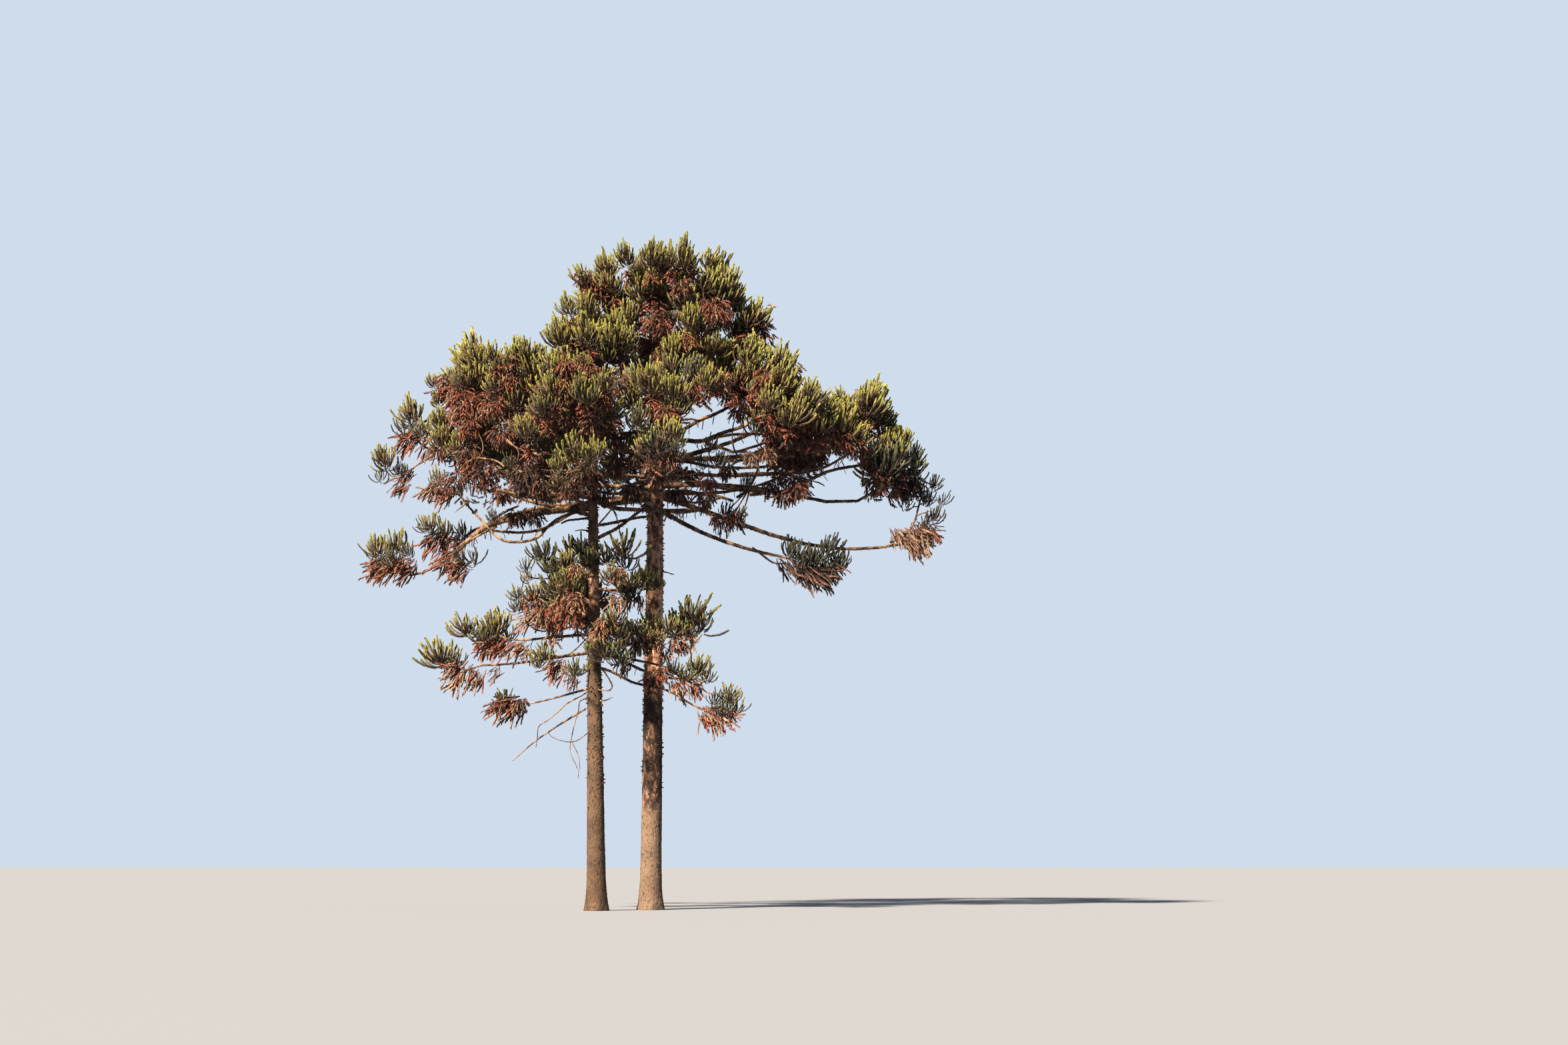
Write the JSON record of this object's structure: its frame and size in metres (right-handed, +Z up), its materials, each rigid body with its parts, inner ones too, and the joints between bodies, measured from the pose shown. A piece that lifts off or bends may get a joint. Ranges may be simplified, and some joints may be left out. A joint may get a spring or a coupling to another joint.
{
  "type": "monkey puzzle tree",
  "caption": "Old monkey puzzle tree: tall bare twin stems under one wide umbrella crown of upturned tufts, with lower whorls of foliage on the slimmer stem.",
  "frame": {"origin": "middle of the flat cut under the main stem, at ground level", "axes": "+Z up; +X to the right as the tree is seen from its front, along the line of the two stems; +Y away from that viewer"},
  "size_m": [21.9767, 17.0293, 25.0149],
  "materials": {
    "bark": "matte",
    "bough_bark": "matte",
    "foliage": "matte",
    "dead_foliage": "matte"
  },
  "bodies": {
    "root": {"bough_back_rim_middle": "bough_bark", "bough_front_rim_left": "bough_bark", "bough_front_rim_right": "bough_bark", "bough_left_shoulder": "bough_bark", "bough_left_skirt": "bough_bark", "bough_low_left_far": "bough_bark", "bough_low_left_tip": "bough_bark", "bough_low_right": "bough_bark", "bough_right_inner": "bough_bark", "bough_right_rim": "bough_bark", "bough_tip_left_low": "bough_bark", "bough_tip_left_mid": "bough_bark", "bough_tip_right_far": "bough_bark", "bough_tip_right_low": "bough_bark", "dead_limb": "bough_bark", "foliage_back_left": "foliage", "foliage_back_rim_left": "foliage", "foliage_back_rim_middle": "foliage", "foliage_back_rim_right": "foliage", "foliage_dome_back": "foliage", "foliage_dome_front": "foliage", "foliage_dome_right_tip": "foliage", "foliage_front_left": "foliage", "foliage_front_middle": "foliage", "foliage_front_rim_left": "foliage", "foliage_front_rim_right": "foliage", "foliage_left_front_rim": "foliage", "foliage_left_inner": "foliage", "foliage_left_rim": "foliage", "foliage_left_shoulder": "foliage", "foliage_left_skirt": "foliage", "foliage_low_back": "foliage", "foliage_low_crown": "foliage", "foliage_low_front": "foliage", "foliage_low_left_far": "foliage", "foliage_low_left_high": "foliage", "foliage_low_left_mid": "foliage", "foliage_low_left_tip": "foliage", "foliage_low_middle": "foliage", "foliage_low_right": "foliage", "foliage_low_right_far": "foliage", "foliage_low_right_high": "foliage", "foliage_low_right_mid": "foliage", "foliage_right_inner": "foliage", "foliage_right_rim": "foliage", "foliage_right_shade": "foliage", "foliage_right_shoulder": "foliage", "foliage_second_top": "foliage", "foliage_shoulder_right": "foliage", "foliage_tip_left_far": "foliage", "foliage_tip_left_high": "foliage", "foliage_tip_left_low": "foliage", "foliage_tip_left_mid": "foliage", "foliage_tip_right_far": "foliage", "foliage_tip_right_low": "foliage", "foliage_top_left": "foliage", "foliage_top_middle": "foliage", "foliage_top_right": "foliage", "main_stem": "bark", "second_stem": "bark"}
  },
  "joints": []
}
